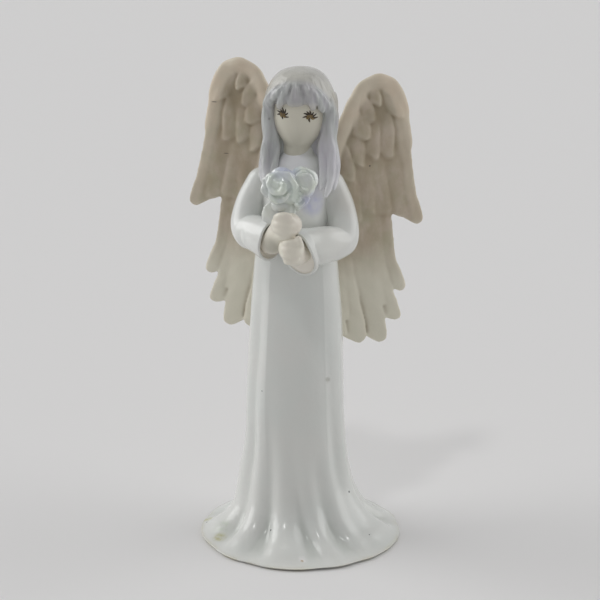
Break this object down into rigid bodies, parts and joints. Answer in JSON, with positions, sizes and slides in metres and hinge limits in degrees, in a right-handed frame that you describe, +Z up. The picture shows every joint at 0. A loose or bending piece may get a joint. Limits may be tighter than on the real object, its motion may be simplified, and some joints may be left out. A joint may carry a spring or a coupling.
{
  "type": "angel figurine",
  "caption": "Standing porcelain angel in a long flared robe, with feathered wings at its back and a bunch of flowers held at its chest, for display on a shelf or mantel.",
  "frame": {"origin": "on the surface that the figurine stands on, under the middle of its bounding box", "axes": "+Z up, -Y the way the angel faces, +X towards the angel's left"},
  "size_m": [0.0704, 0.0572, 0.145],
  "materials": {
    "white_glaze": "glossy clear glaze on white porcelain",
    "flesh_glaze": "satin clear glaze over a pale flesh tint",
    "hair_glaze": "glossy glaze with a blue-grey wash that fades to cream on the crown",
    "petal_glaze": "glossy lustre glaze, pale blue to lilac",
    "leaf_glaze": "glossy lustre glaze, pale green",
    "wing_bisque": "unglazed bisque porcelain with a beige wash in the feathers"
  },
  "bodies": {
    "root": {"robe": "white_glaze", "head": "flesh_glaze", "sleeve_left": "white_glaze", "sleeve_right": "white_glaze", "stems": "leaf_glaze", "hand_left": "flesh_glaze", "hand_right": "flesh_glaze", "hair_crown": "hair_glaze", "lock_left": "hair_glaze", "lock_right": "hair_glaze", "hair_back": "hair_glaze", "blossom_large": "petal_glaze", "blossom_top": "petal_glaze", "blossom_side": "petal_glaze", "leaf_left": "leaf_glaze", "leaf_upper": "leaf_glaze", "leaf_right": "leaf_glaze", "leaf_lower": "leaf_glaze", "wing_left": "wing_bisque", "wing_right": "wing_bisque"}
  },
  "joints": []
}
